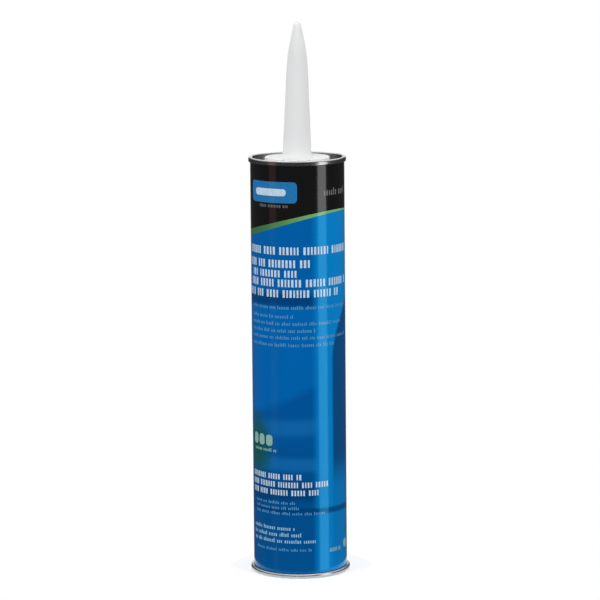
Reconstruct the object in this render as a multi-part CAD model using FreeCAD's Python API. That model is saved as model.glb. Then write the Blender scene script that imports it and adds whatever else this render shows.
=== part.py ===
# A caulk tube: a wound paperboard cartridge with a tinplate end seamed over each mouth, a moulded
# tapered nozzle snapped on the upper end, and a piston that a gun's rod pushes up from the open back.
#
# The frame: millimetres, +Z up along the cartridge's axis, origin at the centre of the face it
# stands on. The front, where the label's printed panel is, looks along -Y.
#
# Every piece but the label's lap, the base slots and the piston's ribs is a solid of revolution.
# Sections are drawn as (radius, height) corners. A tinplate section is a line with bends, which
# sheet_section thickens by the gauge of the plate.

import FreeCAD, Part

import math
import os

# Cartridge and label
CARTRIDGE_LENGTH = 219.0
TUBE_OUTER_R = 24.45
TUBE_WALL = 0.85
LABEL_THICKNESS = 0.15
LABEL_LAP_ARC = 6.0
LABEL_END_GAP = 0.1

# Tinplate ends, and the seat left between faces that touch in one seam
TIN_GAUGE = 0.25
SEAT = 0.02

# A bend is drawn with short straight runs, so many to each bend, and more where it is large
SMALL_BEND_RUNS = 1
LARGE_BEND_RUNS = 2
LARGE_BEND_R = 0.8

# Upper end: a double seam round the tube's folded mouth, a groove, and a hub in the middle
TOP_SEAM_HEIGHT = 2.4
TOP_HOOK_WALL = 0.49
HOOK_END_GAP = 0.15
SEAM_BEND_R = 0.55
GROOVE_DEPTH = 3.9
HUB_R = 15.3
HUB_UNDERCUT = 0.35
HUB_DROP = 1.6
ORIFICE_R = 5.4

# Foot ring: a rolled bead under the tube, with a skirt inside its mouth
FOOT_PROUD = 1.85
FOOT_BEAD_HEIGHT = 2.4
FOOT_BEND_R = 1.0
FOOT_SKIRT_HEIGHT = 6.5
FOOT_HOOK_WALL = 0.6

# Nozzle
NOZZLE_LENGTH = 69.1
NOZZLE_ROOT_R = 7.5
NOZZLE_WALL = 1.2
SHOULDER_HEIGHT = 52.4
SHOULDER_R = 5.2
SHOULDER_BEND_R = 84.0
TIP_R = 1.8
TIP_ROUND_R = 0.6
TIP_PLUG = 2.4
TIP_BORE_R = 1.0
GATE_R = 0.85
GATE_HEIGHT = 0.8
CAP_DISC = 1.5
CAP_WALL = 1.5
CAP_EDGE_R = 0.4
CAP_FIT = 0.06
CAP_FOOT_GAP = 0.15
ROOT_FILLET_R = 2.0
SLOT_COUNT = 8
SLOT_WIDTH = 1.1
FIRST_SLOT_DEG = -24.7

# Inner seal, under the hub
SEAL_R = 9.0
SEAL_THICKNESS = 0.1

# Piston, with its lips a running fit in the tube
PISTON_HEIGHT = 15.0
PISTON_RECESS = 14.0
PISTON_WALL = 1.2
PISTON_CROWN = 1.5
LIP_CLEARANCE = 0.08
LIP_DEPTH = 0.65
LIP_LAND = 0.7
LIP_RAMP = 1.3
RIB_COUNT = 8
RIB_THICKNESS = 1.0
RIB_SETBACK = 3.0
BOSS_R = 6.0
BOSS_WALL = 1.1

# Paste filling: the film left round it, and what stays under the upper end when the tube is spent
PASTE_FILM = 0.1
PASTE_LEFT = 0.75

# Sizes that follow from the ones above
TUBE_INNER_R = TUBE_OUTER_R - TUBE_WALL
LABEL_OUTER_R = TUBE_OUTER_R + LABEL_THICKNESS
SKIRT_MID_R = TUBE_INNER_R - SEAT - TIN_GAUGE / 2
END_HOOK_MID_R = TUBE_OUTER_R + SEAT + TIN_GAUGE / 2
BODY_HOOK_INNER_R = END_HOOK_MID_R + TIN_GAUGE / 2 + SEAT
TOP_BODY_HOOK_OUTER_R = BODY_HOOK_INNER_R + TOP_HOOK_WALL
TOP_SEAM_MID_R = TOP_BODY_HOOK_OUTER_R + SEAT + TIN_GAUGE / 2
TOP_SEAM_FLOOR_Z = CARTRIDGE_LENGTH - TOP_SEAM_HEIGHT
GROOVE_FLOOR_Z = CARTRIDGE_LENGTH - GROOVE_DEPTH
HUB_TOP_Z = CARTRIDGE_LENGTH - HUB_DROP
HUB_FOOT_R = HUB_R - HUB_UNDERCUT
FOOT_OUTER_R = TUBE_OUTER_R + FOOT_PROUD
END_LINE_Z = CARTRIDGE_LENGTH - TIN_GAUGE / 2
GROOVE_LINE_Z = GROOVE_FLOOR_Z - TIN_GAUGE / 2
HUB_LINE_Z = HUB_TOP_Z - TIN_GAUGE / 2
PISTON_LIP_R = TUBE_INNER_R - LIP_CLEARANCE
PISTON_BODY_R = PISTON_LIP_R - LIP_DEPTH
PISTON_CUP_R = PISTON_BODY_R - PISTON_WALL
PISTON_CROWN_Z = PISTON_RECESS + PISTON_HEIGHT
PASTE_LOW_Z = PISTON_CROWN_Z + PASTE_FILM
PASTE_HIGH_Z = GROOVE_FLOOR_Z - TIN_GAUGE - PASTE_FILM
PISTON_TRAVEL = PASTE_HIGH_Z - PASTE_LEFT - PASTE_LOW_Z

AXIS = FreeCAD.Vector(0, 0, 1)
ORIGIN = FreeCAD.Vector(0, 0, 0)
FULL_TURN = 360.0


def point(radius, height):
    """A corner of a section, in the half plane that is turned about the axis."""
    return FreeCAD.Vector(radius, 0, height)


def rounded_wire(corners):
    """A closed wire through (radius, height, rounding) corners, each rounding a few tangent runs."""
    outline = []
    for i, (r, z, rounding) in enumerate(corners):
        here = point(r, z)
        if rounding <= 0:
            outline.append(here)
            continue
        back = (point(*corners[i - 1][:2]) - here).normalize()
        on = (point(*corners[(i + 1) % len(corners)][:2]) - here).normalize()
        half = back.getAngle(on) / 2
        bisector = (back + on).normalize()
        centre = here + bisector * (rounding / math.sin(half))
        across = (on - back).normalize()
        runs = LARGE_BEND_RUNS if rounding >= LARGE_BEND_R else SMALL_BEND_RUNS
        sweep = math.pi / 2 - half
        for step in range(runs + 1):
            angle = sweep * (2 * step / runs - 1)
            outline.append(centre + (across * math.sin(angle) - bisector * math.cos(angle)) * rounding)
    return Part.makePolygon(outline + outline[:1])


def turned(corners):
    """The solid that a closed section of (radius, height, rounding) corners sweeps about the axis."""
    return Part.Face(rounded_wire(corners)).revolve(ORIGIN, AXIS, FULL_TURN)


def offset_side(line, distance):
    """A line of (radius, height, bend) points moved sideways, its bends kept concentric."""
    moved = []
    for i, (r, z, bend) in enumerate(line):
        here = point(r, z)
        along_in = (here - point(*line[i - 1][:2])).normalize() if i else None
        along_out = (point(*line[i + 1][:2]) - here).normalize() if i + 1 < len(line) else None
        along_in = along_in or along_out
        along_out = along_out or along_in
        side_in = FreeCAD.Vector(-along_in.z, 0, along_in.x)
        side_out = FreeCAD.Vector(-along_out.z, 0, along_out.x)
        mitre = (side_in + side_out) * (1 / (1 + side_in.dot(side_out)))
        turn = along_in.x * along_out.z - along_in.z * along_out.x
        place = here + mitre * distance
        moved.append((place.x, place.z, bend and max(bend - math.copysign(1, turn) * distance, 0)))
    return moved


def sheet_section(line, gauge):
    """The closed section of a plate of one gauge whose middle follows a line with bends."""
    return offset_side(line, gauge / 2) + offset_side(line, -gauge / 2)[::-1]


def ring(inner_r, outer_r, low_z, high_z):
    """A plain round band, or a disc where the inner radius is 0."""
    return turned([(inner_r, low_z, 0), (outer_r, low_z, 0), (outer_r, high_z, 0), (inner_r, high_z, 0)])


def body_tube():
    """The wound tube, its mouths folded outward: hooked down inside the seam, and up inside the bead."""
    top_z = CARTRIDGE_LENGTH - TIN_GAUGE - SEAT
    hook_low_z = TOP_SEAM_FLOOR_Z + TIN_GAUGE + HOOK_END_GAP
    fold_under_z = top_z - TOP_HOOK_WALL
    foot_z = TIN_GAUGE + SEAT
    foot_hook_outer_r = BODY_HOOK_INNER_R + FOOT_HOOK_WALL
    foot_hook_high_z = FOOT_BEAD_HEIGHT - TIN_GAUGE - HOOK_END_GAP
    fold_over_z = foot_z + FOOT_HOOK_WALL
    return turned([
        (TUBE_INNER_R, foot_z, SEAM_BEND_R - TIN_GAUGE / 2),
        (foot_hook_outer_r, foot_z, FOOT_HOOK_WALL / 2),
        (foot_hook_outer_r, foot_hook_high_z, 0),
        (BODY_HOOK_INNER_R, foot_hook_high_z, 0),
        (BODY_HOOK_INNER_R, fold_over_z, 0),
        (TUBE_OUTER_R, fold_over_z, 0),
        (TUBE_OUTER_R, fold_under_z, 0),
        (BODY_HOOK_INNER_R, fold_under_z, 0),
        (BODY_HOOK_INNER_R, hook_low_z, 0),
        (TOP_BODY_HOOK_OUTER_R, hook_low_z, 0),
        (TOP_BODY_HOOK_OUTER_R, top_z, SEAM_BEND_R - TIN_GAUGE / 2),
        (TUBE_INNER_R, top_z, SEAM_BEND_R - TIN_GAUGE / 2),
    ])


def label():
    """The printed wrap, from the foot bead to the seam, with its glued lap at the back."""
    low_z = FOOT_BEAD_HEIGHT + LABEL_END_GAP
    high_z = TOP_SEAM_FLOOR_Z - LABEL_END_GAP
    wrap = ring(TUBE_OUTER_R, LABEL_OUTER_R, low_z, high_z)
    lap_deg = math.degrees(LABEL_LAP_ARC / LABEL_OUTER_R)
    strip = Part.Face(rounded_wire([
        (LABEL_OUTER_R, low_z, 0),
        (LABEL_OUTER_R + LABEL_THICKNESS, low_z, 0),
        (LABEL_OUTER_R + LABEL_THICKNESS, high_z, 0),
        (LABEL_OUTER_R, high_z, 0),
    ]))
    lap = strip.revolve(ORIGIN, AXIS, lap_deg)
    lap.rotate(ORIGIN, AXIS, 90 - lap_deg / 2)
    return wrap.fuse(lap)


def top_end():
    """The stamped upper end: end hook, seam, chuck wall, groove, undercut hub and orifice collar."""
    hook_z = TOP_SEAM_FLOOR_Z + TIN_GAUGE / 2
    hook_tip_z = CARTRIDGE_LENGTH - TIN_GAUGE - SEAT - TOP_HOOK_WALL - HOOK_END_GAP
    return turned(sheet_section([
        (END_HOOK_MID_R, hook_tip_z, 0),
        (END_HOOK_MID_R, hook_z, 0),
        (TOP_SEAM_MID_R, hook_z, 0),
        (TOP_SEAM_MID_R, END_LINE_Z, SEAM_BEND_R),
        (SKIRT_MID_R, END_LINE_Z, SEAM_BEND_R),
        (SKIRT_MID_R, GROOVE_LINE_Z, 0),
        (HUB_FOOT_R - TIN_GAUGE / 2, GROOVE_LINE_Z, 0),
        (HUB_R - TIN_GAUGE / 2, HUB_LINE_Z, 0),
        (ORIFICE_R, HUB_LINE_Z, 0),
    ], TIN_GAUGE))


def foot_ring():
    """The rolled foot: a skirt up inside the tube, a flat to stand on, and a bead curled in above."""
    mid_r = FOOT_OUTER_R - TIN_GAUGE / 2
    low_z = TIN_GAUGE / 2
    high_z = FOOT_BEAD_HEIGHT - TIN_GAUGE / 2
    return turned(sheet_section([
        (SKIRT_MID_R, FOOT_SKIRT_HEIGHT, 0),
        (SKIRT_MID_R, low_z, SEAM_BEND_R),
        (mid_r, low_z, FOOT_BEND_R),
        (mid_r, high_z, FOOT_BEND_R),
        (TUBE_OUTER_R + SEAT, high_z, 0),
    ], TIN_GAUGE))


def nozzle():
    """The moulded nozzle: a slotted cap that snaps over the hub, and a hollow spout with a shut tip."""
    disc_low_z = HUB_TOP_Z + SEAT
    disc_high_z = disc_low_z + CAP_DISC
    skirt_low_z = GROOVE_FLOOR_Z + CAP_FOOT_GAP
    cap_outer_r = HUB_R + CAP_FIT + CAP_WALL
    tip_z = disc_high_z + NOZZLE_LENGTH
    shoulder_z = disc_high_z + SHOULDER_HEIGHT
    bore_tip_z = tip_z - TIP_PLUG
    solid = turned([
        (0, tip_z + GATE_HEIGHT, 0),
        (0, bore_tip_z, 0),
        (TIP_BORE_R, bore_tip_z, 0),
        (SHOULDER_R - NOZZLE_WALL, shoulder_z, 0),
        (NOZZLE_ROOT_R - NOZZLE_WALL, disc_low_z, 0),
        (HUB_R + CAP_FIT, disc_low_z, 0),
        (HUB_FOOT_R + CAP_FIT, skirt_low_z, 0),
        (cap_outer_r, skirt_low_z, 0),
        (cap_outer_r, disc_high_z, CAP_EDGE_R),
        (NOZZLE_ROOT_R, disc_high_z, ROOT_FILLET_R),
        (SHOULDER_R, shoulder_z, SHOULDER_BEND_R),
        (TIP_R, tip_z, TIP_ROUND_R),
        (GATE_R, tip_z, 0),
        (GATE_R, tip_z + GATE_HEIGHT, 0),
    ])
    slot = Part.makeBox(
        2 * CAP_WALL, SLOT_WIDTH, disc_high_z - skirt_low_z + 2 * CAP_DISC,
        FreeCAD.Vector(HUB_R + CAP_FIT, -SLOT_WIDTH / 2, skirt_low_z - CAP_DISC),
    )
    for i in range(SLOT_COUNT):
        cut = slot.copy()
        cut.rotate(ORIGIN, AXIS, FIRST_SLOT_DEG - 90 + i * FULL_TURN / SLOT_COUNT)
        solid = solid.cut(cut)
    return solid


def inner_seal():
    """The foil bonded under the hub, across the orifice, which the user pierces through the nozzle."""
    high_z = HUB_TOP_Z - TIN_GAUGE - SEAT
    return ring(0, SEAL_R, high_z - SEAL_THICKNESS, high_z)


def piston():
    """The moulded piston: a flat crown, two wiper lips, and a cup with ribs that meet round a boss."""
    low_z = PISTON_RECESS
    high_z = PISTON_CROWN_Z
    shell = turned([
        (0, high_z, 0),
        (PISTON_LIP_R, high_z, 0),
        (PISTON_LIP_R, high_z - LIP_LAND, 0),
        (PISTON_BODY_R, high_z - LIP_LAND - LIP_RAMP, 0),
        (PISTON_BODY_R, low_z + LIP_LAND + LIP_RAMP, 0),
        (PISTON_LIP_R, low_z + LIP_LAND, 0),
        (PISTON_LIP_R, low_z, 0),
        (PISTON_CUP_R, low_z, 0),
        (PISTON_CUP_R, high_z - PISTON_CROWN, 0),
        (0, high_z - PISTON_CROWN, 0),
    ])
    rib_low_z = low_z + RIB_SETBACK
    rib_high_z = high_z - PISTON_CROWN / 2
    ribs = []
    for i in range(RIB_COUNT):
        rib = Part.makeBox(
            PISTON_CUP_R + PISTON_WALL / 2 - BOSS_R + BOSS_WALL / 2, RIB_THICKNESS, rib_high_z - rib_low_z,
            FreeCAD.Vector(BOSS_R - BOSS_WALL / 2, -RIB_THICKNESS / 2, rib_low_z),
        )
        rib.rotate(ORIGIN, AXIS, i * FULL_TURN / RIB_COUNT)
        ribs.append(rib)
    boss = ring(BOSS_R - BOSS_WALL, BOSS_R, rib_low_z, rib_high_z)
    return shell.fuse([boss] + ribs).removeSplitter()


def sealant():
    """The paste filling, from the piston's crown to the underside of the end and its seal."""
    plug_high_z = HUB_TOP_Z - TIN_GAUGE - SEAT - SEAL_THICKNESS - PASTE_FILM
    plug_r = HUB_FOOT_R - TIN_GAUGE - PASTE_FILM
    fill_r = TUBE_INNER_R - PASTE_FILM
    return turned([
        (0, PASTE_LOW_Z, 0),
        (fill_r, PASTE_LOW_Z, 0),
        (fill_r, PASTE_HIGH_Z, 0),
        (plug_r, PASTE_HIGH_Z, 0),
        (plug_r, plug_high_z, 0),
        (0, plug_high_z, 0),
    ])


PIECES = {
    "body_tube": body_tube,
    "label": label,
    "top_end": top_end,
    "foot_ring": foot_ring,
    "nozzle": nozzle,
    "inner_seal": inner_seal,
    "piston": piston,
    "sealant": sealant,
}


def main():
    os.makedirs("parts", exist_ok=True)
    for name, make in PIECES.items():
        shape = make()
        if not shape.isValid():
            raise ValueError(name + " is not a valid solid")
        shape.exportStep("parts/" + name + ".step")
        box = shape.optimalBoundingBox()
        print(name, len(shape.Solids), "solid", round(shape.Volume, 1), "mm3",
              "z", round(box.ZMin, 3), round(box.ZMax, 3), "r", round(box.XMax, 3))
    print("piston travel", round(PISTON_TRAVEL, 3))


main()
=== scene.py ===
# The looks of the caulk tube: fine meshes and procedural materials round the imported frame.
#
# Metres, +Z up along the cartridge's axis, and the printed front looks along -Y. A place on the
# label is (angle, height): degrees from the front, positive to the right of someone who looks at
# it, and millimetres above the surface that the tube stands on.

import math
import random

import bpy
from mathutils import Matrix, Vector

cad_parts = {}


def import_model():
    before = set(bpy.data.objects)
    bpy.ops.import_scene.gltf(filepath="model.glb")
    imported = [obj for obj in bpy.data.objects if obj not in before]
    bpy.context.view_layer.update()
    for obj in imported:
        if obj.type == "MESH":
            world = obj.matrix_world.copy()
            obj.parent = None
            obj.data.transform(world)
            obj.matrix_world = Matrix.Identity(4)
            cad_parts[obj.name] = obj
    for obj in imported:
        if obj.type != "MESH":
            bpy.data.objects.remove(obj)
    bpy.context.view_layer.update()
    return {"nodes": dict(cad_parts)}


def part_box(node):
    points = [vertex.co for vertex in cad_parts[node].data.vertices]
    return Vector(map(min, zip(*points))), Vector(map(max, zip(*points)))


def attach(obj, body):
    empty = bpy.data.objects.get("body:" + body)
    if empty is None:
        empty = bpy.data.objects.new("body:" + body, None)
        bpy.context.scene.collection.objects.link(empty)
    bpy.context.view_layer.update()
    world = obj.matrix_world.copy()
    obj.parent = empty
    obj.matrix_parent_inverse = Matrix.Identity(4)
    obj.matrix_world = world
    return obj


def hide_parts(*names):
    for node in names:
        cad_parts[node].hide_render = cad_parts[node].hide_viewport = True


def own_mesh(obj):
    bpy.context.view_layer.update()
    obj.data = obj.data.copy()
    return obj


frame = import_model()

MM = 0.001
TURN = 2 * math.pi

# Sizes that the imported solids' boxes don't give, in millimetres, and in degrees where named so
LABEL_R = 24.6
LABEL_PAPER = 0.15
LAP_ARC = 6.0
LAP_RAMP_DEG = 2.0
TUBE_INNER_R = 23.6
TUBE_OUTER_R = 24.45
TIN_GAUGE = 0.25
SEAT = 0.02
SEAM_BEND_R = 0.55
HOOK_BEND_R = 0.3
SKIRT_MID_R = TUBE_INNER_R - SEAT - TIN_GAUGE / 2
HOOK_MID_R = TUBE_OUTER_R + SEAT + TIN_GAUGE / 2
HOOK_TOP_GAP = 1.0
HOOK_END_GAP = 0.15
TOP_FOLD = 0.49
FOOT_FOLD = 0.6
FOLD_BEND_R = 0.42
SEAM_MID_R = 25.375
SEAM_HEIGHT = 2.4
GROOVE_DEPTH = 3.9
HUB_R = 15.3
HUB_UNDERCUT = 0.35
HUB_DROP = 1.6
ORIFICE_R = 5.4
FOOT_BEND_R = 1.0
FOOT_BEAD_HEIGHT = 2.4
CAP_WALL_OUTER_R = 16.86
CAP_DISC = 1.5
CAP_EDGE_R = 0.45
CAP_FOOT_EDGE_R = 0.2
CAP_FIT = 0.06
SPOUT_ROOT_R = 7.5
SPOUT_ROOT_FILLET = 2.0
SPOUT_WALL = 1.2
SHOULDER_R = 5.2
SHOULDER_HEIGHT = 52.4
SHOULDER_BEND_R = 84.0
TIP_R = 1.8
TIP_ROUND_R = 0.6
GATE_R = 0.85
GATE_HEIGHT = 0.8
GATE_FOOT_R = 0.15
GATE_ROUND_R = 0.35
BORE_TIP_R = 1.0
TIP_PLUG = 2.4
SLOT_COUNT = 8
SLOT_WIDTH = 1.1
SLOT_REACH = 3.0
SLOT_HEIGHT = 8.0
FIRST_SLOT_DEG = -24.7
PASTE_GAP = 0.1

# How far the spout leans to the right for each millimetre of its height
SPOUT_LEAN = 0.010

# Heights that the solids do give
FOOT_LOW, FOOT_HIGH = (corner.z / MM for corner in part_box("foot_ring"))
LABEL_LOW, LABEL_HIGH = (corner.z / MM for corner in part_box("label"))
SEAM_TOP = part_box("top_end")[1].z / MM
CAP_LOW, SPOUT_TIP = (corner.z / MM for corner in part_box("nozzle"))
FOOT_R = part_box("foot_ring")[1].x / MM
HUB_TOP = SEAM_TOP - HUB_DROP
CAP_TOP = HUB_TOP + SEAT + CAP_DISC

# How finely round forms are divided
ROUND_STEPS = 240
PASTE_STEPS = 96
BEND_STEP_DEG = 12.0

# No bend is tighter than the first, and a point nearer the axis than the second is on it
LEAST_BEND_R = 0.02
ON_AXIS = 1e-6

# Edges that turn by more than this stay sharp
SHARP_DEG = 35.0
PRINT_SHARP_DEG = 30.0


# Meshes

def rounded(corners):
    """The outline through (radius, height, rounding) corners, with each rounding drawn as an arc."""
    outline = []
    count = len(corners)
    for i, (r, z, rounding) in enumerate(corners):
        here = Vector((r, z))
        if rounding <= 0:
            outline.append((r, z))
            continue
        back = (Vector(corners[i - 1][:2]) - here).normalized()
        on = (Vector(corners[(i + 1) % count][:2]) - here).normalized()
        half = back.angle(on) / 2
        bisector = (back + on).normalized()
        across = (on - back).normalized()
        centre = here + bisector * (rounding / math.sin(half))
        sweep = math.pi / 2 - half
        steps = max(2, math.ceil(math.degrees(2 * sweep) / BEND_STEP_DEG))
        for step in range(steps + 1):
            angle = sweep * (2 * step / steps - 1)
            place = centre + (across * math.sin(angle) - bisector * math.cos(angle)) * rounding
            outline.append((place.x, place.y))
    return outline


def offset_line(line, distance):
    """A line of (radius, height, bend) points moved sideways, its bends kept concentric."""
    moved = []
    for i, (r, z, bend) in enumerate(line):
        here = Vector((r, z))
        into = (here - Vector(line[i - 1][:2])).normalized() if i else None
        out = (Vector(line[i + 1][:2]) - here).normalized() if i + 1 < len(line) else into
        into = into or out
        side_in = Vector((-into.y, into.x))
        side_out = Vector((-out.y, out.x))
        mitre = (side_in + side_out) / (1 + side_in.dot(side_out))
        turn = into.x * out.y - into.y * out.x
        place = here + mitre * distance
        tighter = bend - math.copysign(1, turn) * distance
        moved.append((place.x, place.y, max(tighter, LEAST_BEND_R) if bend else 0))
    return moved


def sheet(line, gauge):
    """The closed outline of a plate of one gauge whose middle follows a line with bends."""
    return rounded(offset_line(line, gauge / 2) + offset_line(line, -gauge / 2)[::-1])


def smooth(mesh, sharp_deg):
    """Smooth shading, but for edges that turn by more than the angle."""
    mesh.polygons.foreach_set("use_smooth", [True] * len(mesh.polygons))
    mesh.set_sharp_from_angle(angle=math.radians(sharp_deg))


def new_mesh(name, verts, faces, sharp_deg=SHARP_DEG):
    """A mesh object from millimetre points."""
    mesh = bpy.data.meshes.new(name)
    mesh.from_pydata([[c * MM for c in v] for v in verts], [], faces)
    mesh.validate()
    smooth(mesh, sharp_deg)
    piece = bpy.data.objects.new(name, mesh)
    bpy.context.scene.collection.objects.link(piece)
    return piece


def turned(name, outline, steps=ROUND_STEPS, lean_from=None):
    """The mesh that a closed (radius, height) outline sweeps about the axis."""
    verts, rings = [], []
    for r, z in outline:
        if r < ON_AXIS:
            rings.append([len(verts)] * steps)
            verts.append((0.0, 0.0, z))
            continue
        rings.append(list(range(len(verts), len(verts) + steps)))
        for i in range(steps):
            angle = TURN * i / steps
            verts.append((r * math.sin(angle), -r * math.cos(angle), z))
    if lean_from is not None:
        verts = [(x + max(z - lean_from, 0) * SPOUT_LEAN, y, z) for x, y, z in verts]
    faces = []
    for low, high in zip(rings, rings[1:] + rings[:1]):
        for i in range(steps):
            j = (i + 1) % steps
            face = []
            for corner in (low[i], low[j], high[j], high[i]):
                if corner not in face:
                    face.append(corner)
            if len(face) > 2:
                faces.append(face)
    return new_mesh(name, verts, faces)


# Material building blocks

# How slowly the lines in rolled metal change round it, in metres
ROLLED_DRIFT = 0.004


class Nodes:
    """Short calls that add nodes to one tree and link them."""

    def __init__(self, tree):
        self.tree = tree

    def feed(self, socket, value):
        """Link another node's output to an input, or set a plain value on it."""
        if isinstance(value, bpy.types.NodeSocket):
            self.tree.links.new(value, socket)
        else:
            socket.default_value = value

    def add(self, kind, *inputs, **settings):
        """A new node with its settings, and with its first inputs fed in their order."""
        node = self.tree.nodes.new(kind)
        for key, value in settings.items():
            setattr(node, key, value)
        for socket, value in zip(node.inputs, inputs):
            self.feed(socket, value)
        return node

    def math(self, operation, a, b=0.0, clamp=False):
        return self.add("ShaderNodeMath", a, b, operation=operation, use_clamp=clamp).outputs[0]

    def step(self, value, low, high, to_low=0.0, to_high=1.0):
        """A soft step from one value to another as the input goes from low to high."""
        node = self.add("ShaderNodeMapRange", interpolation_type="SMOOTHSTEP")
        for socket, number in zip(node.inputs, (value, low, high, to_low, to_high)):
            self.feed(socket, number)
        return node.outputs[0]


class Shade(Nodes):
    """A node material whose Principled shader is built up from short calls."""

    def __init__(self, name):
        self.material = bpy.data.materials.new(name)
        self.material.use_nodes = True
        super().__init__(self.material.node_tree)
        self.shader = self.tree.nodes["Principled BSDF"]
        self.place = self.add("ShaderNodeTexCoord").outputs["Object"]
        self.x, self.y, self.z = self.add("ShaderNodeSeparateXYZ", self.place).outputs

    def mm_step(self, length, ends, to_low=0.0, to_high=1.0):
        """A soft step between two heights or radii, which are given in millimetres."""
        return self.step(length, ends[0] * MM, ends[1] * MM, to_low, to_high)

    def turn_step(self, angle, ends):
        """A soft step from 0 to 1 between two angles round the label, given in degrees."""
        return self.step(angle, math.radians(ends[0]), math.radians(ends[1]))

    def vector(self, x, y, z):
        return self.add("ShaderNodeCombineXYZ", x, y, z).outputs[0]

    def stretched(self, factor):
        """A place with its height multiplied, so that below 1 its noise is drawn out along the axis."""
        return self.vector(self.x, self.y, self.math("MULTIPLY", self.z, factor))

    def noise(self, vector, scale, detail=3.0, roughness=0.5):
        node = self.add("ShaderNodeTexNoise")
        self.feed(node.inputs["Vector"], vector)
        node.inputs["Scale"].default_value = scale
        node.inputs["Detail"].default_value = detail
        node.inputs["Roughness"].default_value = roughness
        return node.outputs["Fac"]

    def mix(self, factor, a, b):
        node = self.add("ShaderNodeMix", data_type="RGBA")
        self.feed(node.inputs["Factor"], factor)
        self.feed(node.inputs["A"], a if isinstance(a, bpy.types.NodeSocket) else (*a, 1.0))
        self.feed(node.inputs["B"], b if isinstance(b, bpy.types.NodeSocket) else (*b, 1.0))
        return node.outputs["Result"]

    def lay(self, colour, ink_colour, where, cover):
        """An ink over a colour: nothing of it where the value is 0, and its full cover at 1."""
        return self.mix(self.math("MULTIPLY", where, cover), colour, ink_colour)

    def bump(self, height, distance, strength=1.0):
        node = self.add("ShaderNodeBump")
        node.inputs["Strength"].default_value = strength
        node.inputs["Distance"].default_value = distance
        self.feed(node.inputs["Height"], height)
        self.feed(self.shader.inputs["Normal"], node.outputs[0])

    def turn_angle(self):
        """Radians round the axis from the front, positive to the right."""
        return self.math("ARCTAN2", self.x, self.math("MULTIPLY", self.y, -1.0))

    def radius(self):
        squares = self.math("ADD", self.math("POWER", self.x, 2.0), self.math("POWER", self.y, 2.0))
        return self.math("SQRT", squares)

    def rolled(self):
        """A place whose noise runs in fine lines round the axis."""
        side = self.math("SINE", self.turn_angle())
        return self.vector(self.radius(), self.z, self.math("MULTIPLY", side, ROLLED_DRIFT))

    def set(self, **values):
        for key, value in values.items():
            self.feed(self.shader.inputs[key.replace("_", " ")], value)


def srgb(r, g, b):
    """The linear colour of an sRGB one given in 0 to 255."""
    return tuple(((c / 255 + 0.055) / 1.055) ** 2.4 if c > 10 else c / 255 / 12.92 for c in (r, g, b))


# Inks

BLUE = srgb(0, 98, 175)
BLUE_MIDDLE = srgb(0, 104, 185)
BLUE_CLEAR = srgb(0, 108, 192)
# A lighter blue, painted where the right strip lamp's reflection falls: painted sheen, not ink
BLUE_PAINTED_SHEEN = srgb(4, 140, 218)
BLUE_LIGHT = srgb(18, 108, 182)
BLUE_DARK = srgb(0, 64, 124)
BLUE_NAVY = srgb(6, 70, 128)
BLUE_LOW = srgb(0, 87, 163)
BLUE_LOWEST = srgb(0, 82, 148)
BLACK = srgb(15, 14, 15)
BLACK_WORN = srgb(20, 19, 21)
GREEN_DARK = srgb(62, 118, 72)
GREEN_LIGHT = srgb(126, 192, 112)
GREEN_GLOW = srgb(20, 88, 84)
WHITE_INK = srgb(210, 232, 250)
PALE_INK = srgb(84, 158, 214)
LIGHT_INK = srgb(156, 204, 238)
BADGE_INK = srgb(150, 196, 184)
GREY_INK = srgb(118, 116, 118)
PLATE_INK = srgb(30, 124, 190)

# The film over the inks: its gloss, how much it reflects, and the tint of what it reflects
FILM_ROUGHNESS = 0.11
INK_ROUGHNESS = 0.16
FILM_LEVEL = 0.85
FIELD_TINT = (0.12, 0.74, 1.0, 1.0)
PLAIN_TINT = (1.0, 1.0, 1.0, 1.0)

# The blue field's tones: pairs of heights in millimetres, and pairs of angles in degrees
MIDDLE_HEIGHTS = (152.0, 142.0)
LOW_HEIGHTS = (101.0, 94.0)
LOWEST_HEIGHTS = (78.0, 56.0)
LOW_TILT = 12.0
CLOUD_SCALE = 26.0
CLOUD_COVER = 0.2
# The painted sheen: the angles between which the right strip lamp's reflection is painted as lighter blue,
# and how much of it is laid on
PAINTED_SHEEN_START = (14.0, 27.0)
PAINTED_SHEEN_END = (150.0, 100.0)
PAINTED_SHEEN_COVER = 0.9
NAVY_START = (42.0, 48.0)
NAVY_END = (118.0, 92.0)
NAVY_FADE_HEIGHTS = (44.0, 66.0)
NAVY_LEAST = 0.25
NAVY_COVER = 0.92
NAVY_CURVE_FROM = 115.0

# Radians that the navy's edge swings to the right, for a square metre of height above that
NAVY_CURVE = 640.0

# Soft bands: ink, cover, and the band's middle, swing, phase, waves round the label and half width
FIELD_BANDS = (
    (BLUE_DARK, 0.9, (146.0, 1.0, 2.2, 1, 5.5)),
    (BLUE_LIGHT, 0.9, (79.5, 1.0, 0.4, 1, 6.5)),
    (BLUE_LIGHT, 0.9, (59.5, 1.0, 2.4, 1, 5.5)),
    (BLUE_DARK, 0.8, (44.5, 1.2, 1.2, 2, 7.0)),
)
STREAK = (BLUE_DARK, 0.8, (35.6, 0.6, 3.0, 1, 2.4))

# How much of a band's half width has its full strength
BAND_CORE = 0.25

# The glow behind the badge: its centre in degrees and millimetres, and its half sizes
GLOW_SPOT = (-64.0, 69.0, 34.0, 22.0)
GLOW_COVER = 0.95


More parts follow.
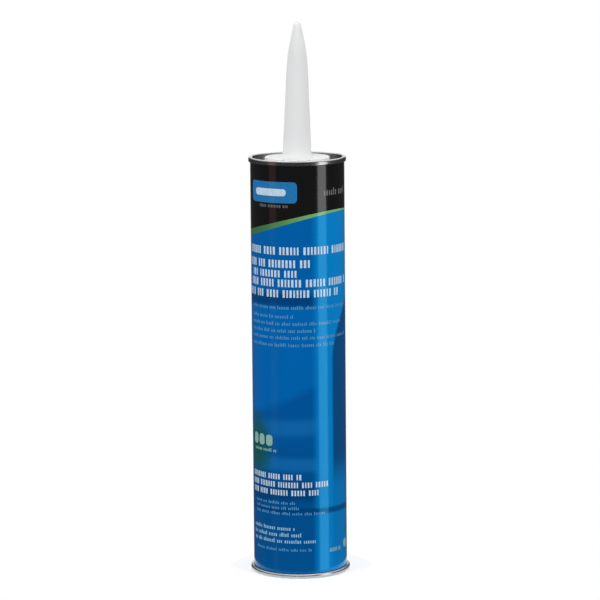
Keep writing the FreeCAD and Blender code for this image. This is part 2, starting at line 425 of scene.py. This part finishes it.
def film(shade, base, roughness=FILM_ROUGHNESS, tint=PLAIN_TINT):
    """The gloss of laminated print over any base colour, with the faint ripple of wrapped paper."""
    ripple = shade.noise(shade.stretched(0.35), 60.0, 2.0)
    fine = shade.noise(shade.place, 2600.0, 2.0)
    shade.set(
        Base_Color=base,
        Roughness=shade.step(fine, 0.3, 0.7, roughness - 0.02, roughness + 0.04),
        Specular_IOR_Level=FILM_LEVEL,
        Specular_Tint=tint,
    )
    shade.bump(shade.math("ADD", ripple, shade.math("MULTIPLY", fine, 0.03)), 0.00005, 0.5)
    return shade.material


def soft_band(shade, angle, middle, swing, phase, waves, half_width):
    """A soft band that rides up and down round the label: 1 on its middle line, 0 outside it."""
    wave = shade.math("SINE", shade.math("ADD", shade.math("MULTIPLY", angle, float(waves)), phase))
    line = shade.math("ADD", shade.math("MULTIPLY", wave, swing * MM), middle * MM)
    off = shade.math("ABSOLUTE", shade.math("SUBTRACT", shade.z, line))
    return shade.mm_step(off, (half_width, half_width * BAND_CORE))


def soft_spot(shade, angle, centre_deg, centre_z, half_deg, half_z):
    """A soft oval on the label: 1 at its centre, 0 at its rim."""
    turn_off = shade.math("SUBTRACT", angle, math.radians(centre_deg))
    height_off = shade.math("SUBTRACT", shade.z, centre_z * MM)
    across = shade.math("DIVIDE", turn_off, math.radians(half_deg))
    along = shade.math("DIVIDE", height_off, half_z * MM)
    far = shade.math("ADD", shade.math("POWER", across, 2.0), shade.math("POWER", along, 2.0))
    return shade.step(far, 1.0, 0.0)


def blue_field():
    """Deep blue print, made lighter to the right of the front by a painted sheen, with navy beyond that
    and green behind the badge.
    """
    shade = Shade("print_blue_field")
    angle = shade.turn_angle()
    tilt = shade.math("MULTIPLY", shade.math("SINE", angle), LOW_TILT * MM)
    tilted = shade.math("SUBTRACT", shade.z, tilt)
    colour = shade.mix(shade.mm_step(shade.z, MIDDLE_HEIGHTS), BLUE, BLUE_MIDDLE)
    colour = shade.mix(shade.mm_step(tilted, LOW_HEIGHTS), colour, BLUE_LOW)
    colour = shade.mix(shade.mm_step(shade.z, LOWEST_HEIGHTS), colour, BLUE_LOWEST)
    clouds = shade.noise(shade.place, CLOUD_SCALE, 1.0)
    colour = shade.lay(colour, BLUE_CLEAR, clouds, CLOUD_COVER)
    for ink_colour, cover, band in FIELD_BANDS:
        colour = shade.lay(colour, ink_colour, soft_band(shade, angle, *band), cover)

    # Painted sheen: a lighter blue laid to the right of the front, standing in for the right strip lamp's
    # reflection
    start = shade.turn_step(angle, PAINTED_SHEEN_START)
    painted_sheen = shade.math("MULTIPLY", start, shade.turn_step(angle, PAINTED_SHEEN_END))
    colour = shade.lay(colour, BLUE_PAINTED_SHEEN, painted_sheen, PAINTED_SHEEN_COVER)

    above = shade.math("MAXIMUM", shade.math("SUBTRACT", shade.z, NAVY_CURVE_FROM * MM), 0.0)
    curve = shade.math("MULTIPLY", shade.math("POWER", above, 2.0), NAVY_CURVE)
    start = shade.turn_step(shade.math("SUBTRACT", angle, curve), NAVY_START)
    navy = shade.math("MULTIPLY", start, shade.turn_step(angle, NAVY_END))
    fade = shade.mm_step(shade.z, NAVY_FADE_HEIGHTS, NAVY_LEAST, 1.0)
    colour = shade.lay(colour, BLUE_NAVY, shade.math("MULTIPLY", navy, fade), NAVY_COVER)

    ink_colour, cover, band = STREAK
    colour = shade.lay(colour, ink_colour, soft_band(shade, angle, *band), cover)
    colour = shade.lay(colour, GREEN_GLOW, soft_spot(shade, angle, *GLOW_SPOT), GLOW_COVER)
    return film(shade, colour, tint=FIELD_TINT)


def header_black():
    shade = Shade("print_black_header")
    return film(shade, shade.mix(shade.noise(shade.place, 40.0, 2.0), BLACK, BLACK_WORN))


def green_stripe():
    shade = Shade("print_green_stripe")
    side = shade.step(shade.math("SINE", shade.turn_angle()), -0.9, 0.7)
    return film(shade, shade.mix(side, GREEN_DARK, GREEN_LIGHT))


def ink(name, colour, darker):
    """A printed ink, with the uneven cover that print has close to."""
    shade = Shade(name)
    cover = shade.step(shade.noise(shade.place, 900.0, 3.0), 0.35, 0.6)
    thin = tuple(c * darker for c in colour)
    return film(shade, shade.mix(cover, thin, colour), INK_ROUGHNESS)


def tinplate(name, base, roughness):
    """Bright rolled steel, with fine lines that run round it."""
    shade = Shade(name)
    lines = shade.noise(shade.rolled(), 2200.0, 4.0, 0.6)
    patches = shade.noise(shade.place, 180.0, 3.0)
    shade.set(
        Metallic=1.0,
        Base_Color=shade.mix(patches, tuple(c * 0.86 for c in base), base),
        Roughness=shade.step(lines, 0.3, 0.7, roughness - 0.06, roughness + 0.08),
    )
    shade.bump(shade.math("ADD", lines, shade.math("MULTIPLY", patches, 1.5)), 0.00004, 0.6)
    return shade.material


def moulded(name, base, roughness, scatter_mm):
    """Soft polyethylene: satin, cloudy, and lit a little from within."""
    shade = Shade(name)
    cloud = shade.noise(shade.place, 90.0, 3.0)
    grain = shade.noise(shade.place, 3000.0, 2.0)
    shade.set(
        Base_Color=shade.mix(cloud, tuple(c * 0.97 for c in base), base),
        Roughness=shade.step(grain, 0.3, 0.7, roughness - 0.05, roughness + 0.05),
        Subsurface_Weight=0.6,
        Subsurface_Scale=scatter_mm * MM,
        Subsurface_Radius=(1.0, 0.95, 0.9),
    )
    shade.bump(shade.math("ADD", cloud, shade.math("MULTIPLY", grain, 0.15)), 0.00006, 0.4)
    return shade.material


# The board: how far up one winding climbs, and between which depths foil gives way to fibre,
# both in millimetres
WINDING_PITCH = 75.0
LINING_DEPTHS = (0.1, 0.3)
LINING = srgb(176, 166, 150)
LINING_SEAM = srgb(120, 102, 80)
BOARD_DARK = srgb(150, 118, 82)
BOARD_LIGHT = srgb(186, 154, 114)
PASTE_DARK = srgb(222, 220, 212)
PASTE_LIGHT = srgb(236, 234, 228)


def wound_board():
    """Spiral-wound board: foil lined inside, with the seam of its windings, and raw board at the folds."""
    shade = Shade("wound_board")
    climb = shade.math("DIVIDE", shade.z, WINDING_PITCH * MM)
    winding = shade.math("ADD", climb, shade.math("DIVIDE", shade.turn_angle(), TURN))
    seam = shade.step(shade.math("FRACT", winding), 0.02, 0.0)
    fibre = shade.noise(shade.stretched(4.0), 700.0, 4.0, 0.65)
    lining = shade.mix(seam, LINING, LINING_SEAM)
    board = shade.mix(fibre, BOARD_DARK, BOARD_LIGHT)
    inside = shade.mm_step(shade.radius(), [TUBE_INNER_R + depth for depth in LINING_DEPTHS])
    shade.set(Base_Color=shade.mix(inside, lining, board), Roughness=0.62)
    shade.bump(shade.math("ADD", fibre, shade.math("MULTIPLY", seam, 2.0)), 0.00005, 0.5)
    return shade.material


def paste():
    shade = Shade("white_paste")
    lumps = shade.noise(shade.place, 160.0, 4.0)
    shade.set(Base_Color=shade.mix(lumps, PASTE_DARK, PASTE_LIGHT), Roughness=0.5)
    shade.bump(lumps, 0.0002, 0.4)
    return shade.material


# The label: black header, green stripe and blue field, their borders drawn in the mesh

HEADER_LEVEL = 186.6
HEADER_SWING = 6.4
HEADER_TURN_DEG = 33.3
STRIPE_DEPTH = 2.15
STRIPE_TAPER = 1.25
LABEL_STEPS = 360

# The lap's cut edge: its width in radians, and how near to it no other column of the mesh stands
LAP_STEP = 1e-4
LAP_CLEAR_DEG = 0.3

# The print on each side of the wrap's outline, from the foot up and back: 0 blue, 1 green, 2 black
LABEL_ZONES = (0, 1, 2, 2, 0, 0)


def header_edge(angle):
    """Where the black header ends, in millimetres above the foot, at an angle round the label."""
    return HEADER_LEVEL + HEADER_SWING * math.sin(angle + math.radians(HEADER_TURN_DEG))


def label_radius(angle):
    """The label's outer radius: one sheet, and two where its end laps over its start at the back."""
    half_lap = LAP_ARC / 2 / LABEL_R
    ramp = math.radians(LAP_RAMP_DEG)
    behind = (angle % TURN) - math.pi
    if behind > half_lap:
        return LABEL_R + LABEL_PAPER * max(half_lap + ramp - behind, 0.0) / ramp
    return LABEL_R + LABEL_PAPER if behind >= -half_lap else LABEL_R


def label():
    """The wrap as one closed sheet, in three zones of print."""
    half_lap = LAP_ARC / 2 / LABEL_R
    angles = [TURN * i / LABEL_STEPS for i in range(LABEL_STEPS)]
    edge = math.pi - half_lap
    angles = [a for a in angles if abs(a - edge) > math.radians(LAP_CLEAR_DEG)]
    angles = sorted(angles + [edge - LAP_STEP, edge])
    verts, faces, inks = [], [], []
    for angle in angles:
        top = header_edge(angle)
        stripe = STRIPE_DEPTH - STRIPE_TAPER * math.sin(angle)
        r = label_radius(angle)
        for radius, z in (
            (r, LABEL_LOW),
            (r, top - stripe),
            (r, top),
            (r, LABEL_HIGH),
            (TUBE_OUTER_R, LABEL_HIGH),
            (TUBE_OUTER_R, LABEL_LOW),
        ):
            verts.append((radius * math.sin(angle), -radius * math.cos(angle), z))
    ring = len(LABEL_ZONES)
    for i in range(len(angles)):
        j = (i + 1) % len(angles)
        for k, zone in enumerate(LABEL_ZONES):
            m = (k + 1) % ring
            faces.append((i * ring + k, j * ring + k, j * ring + m, i * ring + m))
            inks.append(zone)
    piece = new_mesh("label_wrap", verts, faces, PRINT_SHARP_DEG)
    for material in (blue_field(), green_stripe(), header_black()):
        piece.data.materials.append(material)
    piece.data.polygons.foreach_set("material_index", inks)
    return piece


# Print on the label, as thin films of ink

INK_LIFT = 0.03
SECOND_LIFT = 0.05
COLUMN_DEG = 2.0
CORNER_STEPS = 5
DISC_STEPS = 20

# So that the ends of a rounded bar and of a disc keep a little height
LEAST_HALF = 1e-4
LEAST_SQUARE = 1e-6

# Rows: blocks in a word, each block's width and the gaps after a block and a word, in pitches,
# and how far a block's top may drop, as a share of the row's height
WORD_BLOCKS = (3, 8)
BLOCK_WIDTHS = (0.28, 0.46)
BLOCK_GAP = 0.30
WORD_GAP = 0.6
EVEN_DROPS = (0.0,)
FINE_DROPS = (0.28, 0.28, 0.28, 0.0)


class Print:
    """Patches of one ink on the label, gathered into one mesh."""

    def __init__(self, name, material, lift=INK_LIFT):
        self.name, self.material, self.lift = name, material, lift
        self.verts, self.faces = [], []

    def columns(self, columns):
        """A patch through (angle in degrees, low, high) columns from left to right."""
        start = len(self.verts)
        for deg, low, high in columns:
            angle = math.radians(deg)
            for r in (LABEL_R, LABEL_R + self.lift):
                for z in (low, high):
                    self.verts.append((r * math.sin(angle), -r * math.cos(angle), z))
        for i in range(len(columns) - 1):
            a, b = start + 4 * i, start + 4 * i + 4
            for p, q in ((2, 3), (3, 1), (1, 0), (0, 2)):
                self.faces.append((a + p, b + p, b + q, a + q))
        end = start + 4 * (len(columns) - 1)
        self.faces.append((start, start + 2, start + 3, start + 1))
        self.faces.append((end, end + 1, end + 3, end + 2))

    def bar(self, left, right, low, high, corner=0.0):
        """A plain bar, its corners rounded by a radius in millimetres."""
        steps = max(1, math.ceil((right - left) / COLUMN_DEG))
        spots = [left + (right - left) * i / steps for i in range(steps + 1)]
        if corner > 0:
            reach = math.degrees(corner / LABEL_R)
            turns = [math.pi / 2 * i / CORNER_STEPS for i in range(CORNER_STEPS)]
            curve = [reach * (1 - math.cos(turn)) for turn in turns]
            middle = [s for s in spots if left + reach < s < right - reach]
            spots = [left + c for c in curve] + [left + reach] + middle + [right - reach]
            spots += [right - c for c in reversed(curve)]
        rows = []
        for spot in spots:
            inset = 0.0
            if corner > 0:
                side = max(reach - (spot - left), reach - (right - spot), 0.0) / reach
                inset = corner * (1 - math.sqrt(max(1 - side * side, 0.0)))
            inset = min(inset, (high - low) / 2 - LEAST_HALF)
            rows.append((spot, low + inset, high - inset))
        self.columns(rows)

    def row(self, left, right, low, high, pitch, seed, drops=FINE_DROPS):
        """A row of plain blocks in word-long groups: placeholder print with no lettering."""
        draw = random.Random(seed)
        to_deg = math.degrees(1 / LABEL_R)
        spot = left
        while spot < right:
            for _ in range(draw.randint(*WORD_BLOCKS)):
                width = pitch * draw.uniform(*BLOCK_WIDTHS) * to_deg
                if spot + width > right:
                    break
                drop = (high - low) * draw.choice(drops)
                self.bar(spot, spot + width, low, high - drop)
                spot += width + pitch * BLOCK_GAP * to_deg
            spot += pitch * WORD_GAP * to_deg

    def rows(self, rows, pitch, first_seed, drops=FINE_DROPS):
        """Several rows of blocks, each with a seed of its own."""
        for seed, row in enumerate(rows, first_seed):
            self.row(*row, pitch, seed, drops)

    def disc(self, centre_deg, centre_z, radius):
        """A plain disc, as wide in millimetres as it is high."""
        columns = []
        for i in range(DISC_STEPS + 1):
            across = -math.cos(math.pi * i / DISC_STEPS)
            half = radius * math.sqrt(max(1 - across * across, LEAST_SQUARE))
            deg = centre_deg + math.degrees(radius * across / LABEL_R)
            columns.append((deg, centre_z - half, centre_z + half))
        self.columns(columns)

    def finish(self):
        piece = new_mesh(self.name, self.verts, self.faces, PRINT_SHARP_DEG)
        piece.data.materials.append(self.material)
        return piece


# Rows of print: left and right in degrees, low and high in millimetres
HEAVY_ROWS = (
    (-76, 77, 170.5, 174.5), (-77, 17, 163.8, 167.8), (-69, -1.4, 158.8, 162.4),
    (-73, 76, 153.8, 157.7), (-79, 57, 148.3, 152.2),
)
FINE_ROWS = (
    (-70, 75, 142.1, 144.0), (-70, -6.6, 137.4, 139.3), (-71, 64, 133.7, 135.6),
    (-71, 21, 130.0, 131.9), (-71, 74, 126.4, 128.3), (-72, 48, 122.5, 124.4),
)
LOWER_HEAVY_ROWS = ((-74, 5, 52.3, 55.2), (-74, 38, 48.1, 51.0), (-74, 26, 43.9, 46.8))
LOWER_FINE_ROWS = (
    (-67, -6, 39.2, 40.8), (-67, 2, 36.4, 38.0), (-67, 33, 33.6, 35.2), (-66, 15, 14.2, 15.8),
)
CONTENT_ROWS = ((-72, -6.5, 25.3, 27.4), (-72, 2, 21.9, 24.0), (-72, 19, 18.5, 20.6))
PLATE_ROW = (-52, -10.3, 194.9, 196.8)
HEADER_ROW = (33.7, 73.8, 200.7, 204.4)
BADGE_ROW = (-68, -28.6, 66.6, 68.4)
DISC_ROW = (39, 58, 12.7, 15.4)

# How wide a block and its gap are in each kind of row, in millimetres
HEAVY_PITCH = 2.8
LOWER_PITCH = 2.3
FINE_PITCH = 1.45
SMALL_PITCH = 1.7
HEADER_PITCH = 2.4
BACK_PITCH = 1.2

# Bars: left and right, low and high, and the radius of the corners
PLATE = (-69, -0.5, 197.3, 208.2, 2.2)
PLATE_BAR = (-60, -14, 200.9, 204.6, 1.8)
BADGE_SPOTS_DEG = (-66.0, -53.0, -40.0)
BADGE_HALF_DEG = 5.0
BADGE_HEIGHTS = (69.6, 75.4)
BADGE_CORNER = 1.6
DISC = (71.5, 15.2, 2.4)

# The back: two columns of pale rows in paragraphs, each paragraph's last row shorter
BACK_COLUMNS = ((92.0, 164.0), (-164.0, -92.0))
BACK_LOW, BACK_HIGH = 22.0, 166.0
BACK_ROW = 1.7
BACK_LINE = 3.4
BACK_PARAGRAPH = 6
BACK_LAST_LINE = 1.9
BACK_LAST_SHORTER_DEG = 30


def back_rows(material):
    """The print at the back, which the photograph doesn't show."""
    back = Print("print_back_rows", material)
    seed = 100
    for left, right in BACK_COLUMNS:
        z = BACK_HIGH
        while z > BACK_LOW:
            seed += 1
            last = seed % BACK_PARAGRAPH == 0
            end = right - (BACK_LAST_SHORTER_DEG if last else 0)
            back.row(left, end, z - BACK_ROW, z, BACK_PITCH, seed)
            z -= BACK_LINE * (BACK_LAST_LINE if last else 1.0)
    return back.finish()


def printed():
    """All the print over the label's three zones."""
    white = ink("white_ink", WHITE_INK, 0.86)
    pale = ink("pale_blue_ink", PALE_INK, 0.82)

    heading = Print("print_heading", white)
    heading.rows(HEAVY_ROWS, HEAVY_PITCH, 0, EVEN_DROPS)
    heading.rows(LOWER_HEAVY_ROWS, LOWER_PITCH, 20, EVEN_DROPS)

    fine = Print("print_fine_rows", pale)
    fine.rows(FINE_ROWS, FINE_PITCH, 40)
    fine.rows(LOWER_FINE_ROWS, FINE_PITCH, 50)

    content = Print("print_content_rows", ink("light_blue_ink", LIGHT_INK, 0.84))
    content.rows(CONTENT_ROWS, SMALL_PITCH, 30)

    plate = Print("print_plate", ink("plate_blue_ink", PLATE_INK, 0.9))
    plate.bar(*PLATE)
    mark = Print("print_plate_bar", white, SECOND_LIFT)
    mark.bar(*PLATE_BAR)

    small = Print("print_grey_rows", ink("grey_ink", GREY_INK, 0.8))
    small.row(*PLATE_ROW, FINE_PITCH, 60)
    small.row(*HEADER_ROW, HEADER_PITCH, 61)

    badge = Print("print_badge", ink("badge_ink", BADGE_INK, 0.86))
    for spot in BADGE_SPOTS_DEG:
        badge.bar(spot - BADGE_HALF_DEG, spot + BADGE_HALF_DEG, *BADGE_HEIGHTS, BADGE_CORNER)
    badge.row(*BADGE_ROW, FINE_PITCH, 62)
    badge.disc(*DISC)
    badge.row(*DISC_ROW, FINE_PITCH, 63)

    prints = (heading, fine, content, plate, mark, small, badge)
    return [patches.finish() for patches in prints] + [back_rows(pale)]


# The solid pieces

def seam_end():
    """The metal end: seam, chuck wall, groove and undercut hub, with every bend rounded."""
    line_z = SEAM_TOP - TIN_GAUGE / 2
    hook_z = SEAM_TOP - SEAM_HEIGHT + TIN_GAUGE / 2
    groove_z = SEAM_TOP - GROOVE_DEPTH - TIN_GAUGE / 2
    hub_z = HUB_TOP - TIN_GAUGE / 2
    hub_foot_r = HUB_R - HUB_UNDERCUT - TIN_GAUGE / 2
    return turned("metal_end", sheet([
        (HOOK_MID_R, line_z - HOOK_TOP_GAP, 0),
        (HOOK_MID_R, hook_z, HOOK_BEND_R),
        (SEAM_MID_R, hook_z, HOOK_BEND_R),
        (SEAM_MID_R, line_z, SEAM_BEND_R),
        (SKIRT_MID_R, line_z, SEAM_BEND_R),
        (SKIRT_MID_R, groove_z, HOOK_BEND_R),
        (hub_foot_r, groove_z, HOOK_BEND_R),
        (HUB_R - TIN_GAUGE / 2, hub_z, HOOK_BEND_R),
        (ORIFICE_R, hub_z, 0),
    ], TIN_GAUGE))


def rolled_foot():
    """The foot: a skirt inside the tube, the face it stands on, and the bead rolled up outside."""
    mid_r = FOOT_R - TIN_GAUGE / 2
    low_z = FOOT_LOW + TIN_GAUGE / 2
    high_z = FOOT_BEAD_HEIGHT - TIN_GAUGE / 2
    return turned("metal_foot", sheet([
        (SKIRT_MID_R, FOOT_HIGH, 0),
        (SKIRT_MID_R, low_z, SEAM_BEND_R),
        (mid_r, low_z, FOOT_BEND_R),
        (mid_r, high_z, FOOT_BEND_R),
        (TUBE_OUTER_R + SEAT, high_z, 0),
    ], TIN_GAUGE))


def spout():
    """The slotted cap and hollow spout, leaning a little to the right as the photographed one does."""
    disc_low = HUB_TOP + SEAT
    shoulder_z = CAP_TOP + SHOULDER_HEIGHT
    tip_z = SPOUT_TIP - GATE_HEIGHT
    outline = rounded([
        (0, SPOUT_TIP, 0),
        (0, tip_z - TIP_PLUG, 0),
        (BORE_TIP_R, tip_z - TIP_PLUG, 0),
        (SHOULDER_R - SPOUT_WALL, shoulder_z, 0),
        (SPOUT_ROOT_R - SPOUT_WALL, disc_low, 0),
        (HUB_R + CAP_FIT, disc_low, 0),
        (HUB_R - HUB_UNDERCUT + CAP_FIT, CAP_LOW, 0),
        (CAP_WALL_OUTER_R, CAP_LOW, CAP_FOOT_EDGE_R),
        (CAP_WALL_OUTER_R, CAP_TOP, CAP_EDGE_R),
        (SPOUT_ROOT_R, CAP_TOP, SPOUT_ROOT_FILLET),
        (SHOULDER_R, shoulder_z, SHOULDER_BEND_R),
        (TIP_R, tip_z, TIP_ROUND_R),
        (GATE_R, tip_z, GATE_FOOT_R),
        (GATE_R, SPOUT_TIP, GATE_ROUND_R),
    ])
    piece = turned("spout", outline, lean_from=CAP_TOP + SPOUT_ROOT_FILLET)
    cutters = []
    middle_r = HUB_R + CAP_FIT + SLOT_REACH / 2
    for i in range(SLOT_COUNT):
        angle = math.radians(FIRST_SLOT_DEG + i * 360 / SLOT_COUNT)
        bpy.ops.mesh.primitive_cube_add(size=1)
        box = bpy.context.object
        box.scale = (SLOT_WIDTH * MM, SLOT_REACH * MM, SLOT_HEIGHT * MM)
        box.rotation_euler = (0, 0, angle)
        box.location = Vector((middle_r * math.sin(angle), -middle_r * math.cos(angle), CAP_TOP)) * MM
        cutters.append(box)
    for box in cutters:
        cut = piece.modifiers.new("slot", "BOOLEAN")
        cut.operation = "DIFFERENCE"
        cut.solver = "EXACT"
        cut.object = box
    bpy.context.view_layer.update()
    evaluated = piece.evaluated_get(bpy.context.evaluated_depsgraph_get())
    mesh = bpy.data.meshes.new_from_object(evaluated)
    piece.modifiers.clear()
    piece.data = mesh
    for box in cutters:
        bpy.data.objects.remove(box)
    smooth(mesh, SHARP_DEG)
    return piece


def board_tube():
    """The wound tube from its folded foot to its folded top, with only what the metal leaves to see."""
    low, high = (corner.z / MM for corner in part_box("body_tube"))
    hook_inner = HOOK_MID_R + TIN_GAUGE / 2 + SEAT
    hook_low = SEAM_TOP - SEAM_HEIGHT + TIN_GAUGE + HOOK_END_GAP
    foot_hook_high = FOOT_BEAD_HEIGHT - TIN_GAUGE - HOOK_END_GAP
    return turned("board_tube", rounded([
        (TUBE_INNER_R, low, FOLD_BEND_R),
        (hook_inner + FOOT_FOLD, low, FOOT_FOLD / 2),
        (hook_inner + FOOT_FOLD, foot_hook_high, 0),
        (hook_inner, foot_hook_high, 0),
        (hook_inner, low + FOOT_FOLD, 0),
        (TUBE_OUTER_R, low + FOOT_FOLD, 0),
        (TUBE_OUTER_R, high - TOP_FOLD, 0),
        (hook_inner, high - TOP_FOLD, 0),
        (hook_inner, hook_low, 0),
        (hook_inner + TOP_FOLD, hook_low, 0),
        (hook_inner + TOP_FOLD, high, FOLD_BEND_R),
        (TUBE_INNER_R, high, FOLD_BEND_R),
    ]))


def paste_fill():
    """The paste as one solid, from the piston up to the metal end and into its hub."""
    low, high = (corner.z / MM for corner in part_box("sealant"))
    fill_r = TUBE_INNER_R - PASTE_GAP
    plug_r = HUB_R - HUB_UNDERCUT - TIN_GAUGE - PASTE_GAP
    under_end = SEAM_TOP - GROOVE_DEPTH - TIN_GAUGE - PASTE_GAP
    outline = [
        (0, low),
        (fill_r, low),
        (fill_r, under_end),
        (plug_r, under_end),
        (plug_r, high),
        (0, high),
    ]
    return turned("paste_fill", outline, PASTE_STEPS)


# The stage: floor, backdrop, lamps and camera

# The camera, fitted to the photograph, with its place in metres
CAMERA_PLACE = (0.0, -1.5532, 0.3858)
CAMERA_DOWN_DEG = 8.871
CAMERA_ROLL_DEG = -0.491
CAMERA_PAN_DEG = -0.0315
CAMERA_LENS_MM = 180.18
SENSOR_MM = 36.0


def camera():
    data = bpy.data.cameras.new("camera")
    data.lens = CAMERA_LENS_MM
    data.sensor_width = SENSOR_MM
    view = bpy.data.objects.new("camera", data)
    bpy.context.scene.collection.objects.link(view)
    view.matrix_world = (
        Matrix.Translation(CAMERA_PLACE)
        @ Matrix.Rotation(math.radians(CAMERA_PAN_DEG), 4, "Z")
        @ Matrix.Rotation(math.radians(90 - CAMERA_DOWN_DEG), 4, "X")
        @ Matrix.Rotation(math.radians(CAMERA_ROLL_DEG), 4, "Z")
    )
    bpy.context.scene.camera = view


# Lamps: azimuth and elevation in degrees; distance, height faced, width and height in metres; radiance
OVERHEAD = (0, 88, 1.1, 0.15, 0.9, 0.9, 0.75)
BEHIND = (180, 45, 1.4, 0.12, 0.9, 0.6, 2.0)
FRONT_LEFT = (-58, 22, 1.4, 0.12, 0.7, 0.7, 5.4)
FRONT_RIGHT = (54, 22, 1.4, 0.12, 0.7, 0.7, 5.2)
STRIP_RIGHT = (60, -9, 0.36, 0.11, 0.15, 0.36, 1.65)
STRIP_LEFT = (-62, -9, 0.55, 0.11, 0.18, 0.40, 0.21)
STRIP_LEFT_COLOUR = (1.0, 0.5, 0.46)


def softbox(name, azimuth, elevation, distance, aim_z, width, height, radiance, colour=(1, 1, 1)):
    """A rectangular lamp at an azimuth from the front, positive to the right, that faces the axis."""
    data = bpy.data.lights.new(name, "AREA")
    data.shape = "RECTANGLE"
    data.size, data.size_y = width, height
    data.energy = radiance * math.pi * width * height
    data.color = colour
    lamp = bpy.data.objects.new(name, data)
    bpy.context.scene.collection.objects.link(lamp)
    a, e = math.radians(azimuth), math.radians(elevation)
    away = Vector((math.sin(a) * math.cos(e), -math.cos(a) * math.cos(e), math.sin(e)))
    lamp.location = Vector((0, 0, aim_z)) + away * distance
    lamp.rotation_euler = away.to_track_quat("Z", "Y").to_euler()
    lamp.visible_camera = False
    return lamp


def lamps():
    """Wide lamps for the object's colours, and two strips that only its gloss and metal reflect."""
    softbox("overhead", *OVERHEAD)
    softbox("behind", *BEHIND)
    softbox("front_left", *FRONT_LEFT).visible_glossy = False
    softbox("front_right", *FRONT_RIGHT).visible_glossy = False
    softbox("strip_right", *STRIP_RIGHT).visible_diffuse = False
    softbox("strip_left", *STRIP_LEFT, STRIP_LEFT_COLOUR).visible_diffuse = False


# What gloss and metal see of the room, by how far a direction faces the back and how far up
ROOM_DIM = 0.05
ROOM_TOP = 0.9
BACKDROP_FACING = (0.94, 0.985)
CEILING_FACING = (0.15, 0.75)

# What all other surfaces get from every side
FILL = 0.42


def world():
    """White to the camera. Gloss and metal see white behind the part, a light ceiling and a dim room."""
    studio = bpy.data.worlds.new("studio")
    bpy.context.scene.world = studio
    studio.use_nodes = True
    studio.node_tree.nodes.clear()
    nodes = Nodes(studio.node_tree)
    direction = nodes.add("ShaderNodeTexCoord").outputs["Generated"]
    facing = nodes.add("ShaderNodeSeparateXYZ", direction).outputs
    behind = nodes.step(facing["Y"], *BACKDROP_FACING)
    above = nodes.step(facing["Z"], *CEILING_FACING, ROOM_DIM, ROOM_TOP)
    rays = nodes.add("ShaderNodeLightPath").outputs
    polished = nodes.math("ADD", rays["Is Glossy Ray"], rays["Is Transmission Ray"], clamp=True)
    seen_by_gloss = nodes.math("MULTIPLY", polished, nodes.math("MAXIMUM", behind, above))
    lit = nodes.math("MULTIPLY", nodes.math("SUBTRACT", 1.0, polished), FILL)
    level = nodes.math("MAXIMUM", nodes.math("ADD", lit, seen_by_gloss), rays["Is Camera Ray"])
    background = nodes.add("ShaderNodeBackground", (1, 1, 1, 1), level)
    nodes.add("ShaderNodeOutputWorld", background.outputs[0])


# The floor's ring in millimetres, its colour, and its glow to the camera, gloss and metal
FLOOR_INNER_R = 24.6
FLOOR_R = 38.0
FLOOR_Z = -0.1
FLOOR_STEPS = 96
FLOOR_TONE = 0.88
FLOOR_GLOW = 0.34


def floor():
    """A pale ring round the foot that keeps its shadow: open under the tube, and clear from below."""
    verts, faces = [], []
    for i in range(FLOOR_STEPS):
        angle = TURN * i / FLOOR_STEPS
        for r in (FLOOR_INNER_R, FLOOR_R):
            verts.append((r * math.cos(angle), r * math.sin(angle), FLOOR_Z))
        j = (i + 1) % FLOOR_STEPS
        faces.append((2 * i, 2 * i + 1, 2 * j + 1, 2 * j))
    disc = new_mesh("floor", verts, faces)
    material = bpy.data.materials.new("floor")
    material.use_nodes = True
    material.node_tree.nodes.clear()
    nodes = Nodes(material.node_tree)
    diffuse = nodes.add("ShaderNodeBsdfDiffuse", (FLOOR_TONE, FLOOR_TONE, FLOOR_TONE, 1))
    rays = nodes.add("ShaderNodeLightPath").outputs
    polished = nodes.math("ADD", rays["Is Glossy Ray"], rays["Is Transmission Ray"])
    seen = nodes.math("ADD", rays["Is Camera Ray"], polished)
    glow = nodes.add("ShaderNodeEmission")
    nodes.feed(glow.inputs["Strength"], nodes.math("MULTIPLY", seen, FLOOR_GLOW))
    both = nodes.add("ShaderNodeAddShader", diffuse.outputs[0], glow.outputs[0])
    under = nodes.add("ShaderNodeNewGeometry").outputs["Backfacing"]
    clear = nodes.add("ShaderNodeBsdfTransparent")
    upper = nodes.add("ShaderNodeMixShader", under, both.outputs[0], clear.outputs[0])
    nodes.add("ShaderNodeOutputMaterial", upper.outputs[0])
    disc.data.materials.append(material)


# Putting it together

# The colours of the plain pieces
TIN = srgb(198, 199, 202)
FOIL = srgb(222, 222, 226)
SPOUT_WHITE = srgb(248, 249, 248)
PISTON_WHITE = srgb(224, 222, 216)


def add(piece, slot, *nodes, material=None):
    """A piece rides on the cartridge, takes the material it is given, and stands for the nodes it
    replaces; the slot is not used.
    """
    if material:
        piece.data.materials.append(material)
    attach(piece, "cartridge")
    if nodes:
        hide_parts(*nodes)


def finish_node(name, material):
    """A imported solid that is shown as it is, with its own finish."""
    solid = frame["nodes"][name]
    solid.data.materials.clear()
    solid.data.materials.append(material)


tin = tinplate("tinplate", TIN, 0.22)
spout_plastic = moulded("nozzle_plastic", SPOUT_WHITE, 0.45, 2.5)
add(label(), "printed_paper", "label")
for piece in printed():
    add(piece, "printed_paper")
add(seam_end(), "tinplate", "top_end", material=tin)
add(rolled_foot(), "tinplate", "foot_ring", material=tin)
add(spout(), "nozzle_plastic", "nozzle", material=spout_plastic)
add(board_tube(), "wound_board", "body_tube", material=wound_board())

fill = paste_fill()
add(fill, "paste", "sealant", material=paste())
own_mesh(fill)

finish_node("piston", moulded("piston_plastic", PISTON_WHITE, 0.4, 1.5))
finish_node("inner_seal", tinplate("seal_foil", FOIL, 0.3))

camera()
lamps()
world()
floor()
bpy.context.scene.view_settings.view_transform = "Standard"
